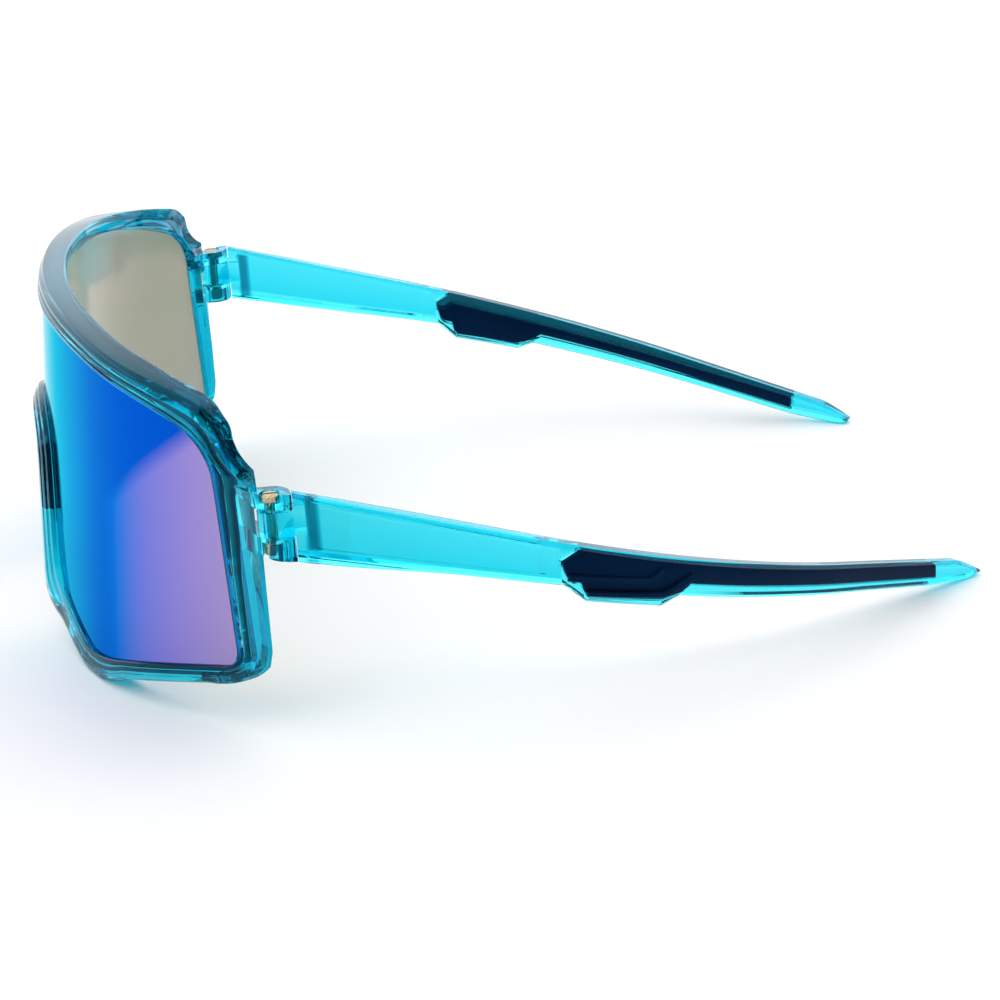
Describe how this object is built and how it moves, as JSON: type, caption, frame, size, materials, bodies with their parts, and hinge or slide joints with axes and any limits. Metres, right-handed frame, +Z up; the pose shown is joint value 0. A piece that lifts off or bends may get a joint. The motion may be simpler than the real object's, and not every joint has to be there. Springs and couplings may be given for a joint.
{
  "type": "wraparound sport sunglasses",
  "caption": "Wraparound sport sunglasses: one-piece mirrored shield lens in a full translucent front, folding temples with rubber grips, nose pads and screwed hinges.",
  "frame": {"origin": "middle of the footprint's bounding box, on the surface that the open sunglasses stand on", "axes": "+X to the wearer's left across the face, +Y from the lens back along the temples, +Z up"},
  "size_m": [0.1536, 0.1626, 0.0609],
  "materials": {
    "clear_plastic": "glossy translucent cyan polycarbonate",
    "mirror_lens": "blue to violet iridescent mirror coating",
    "grip_rubber": "matte dark navy rubber",
    "hinge_metal": "satin gold-coloured steel"
  },
  "bodies": {
    "front": {"front_frame": "clear_plastic", "shield_lens": "mirror_lens", "left_nose_pad": "grip_rubber", "right_nose_pad": "grip_rubber", "left_hinge_screw": "hinge_metal", "left_hinge_insert": "hinge_metal", "right_hinge_screw": "hinge_metal", "right_hinge_insert": "hinge_metal"},
    "left_temple_arm": {"left_temple": "clear_plastic", "left_outer_grip": "grip_rubber", "left_inner_grip": "grip_rubber"},
    "right_temple_arm": {"right_temple": "clear_plastic", "right_outer_grip": "grip_rubber", "right_inner_grip": "grip_rubber"}
  },
  "joints": [
    {"name": "left_temple_fold", "type": "hinge", "parent": "front", "child": "left_temple_arm", "pos_m": [0.0726, -0.04315, 0.0365], "axis": [0, 0, 1], "range_deg": [0, 83]},
    {"name": "right_temple_fold", "type": "hinge", "parent": "front", "child": "right_temple_arm", "pos_m": [-0.0726, -0.04315, 0.0365], "axis": [0, 0, -1], "range_deg": [0, 75]}
  ]
}
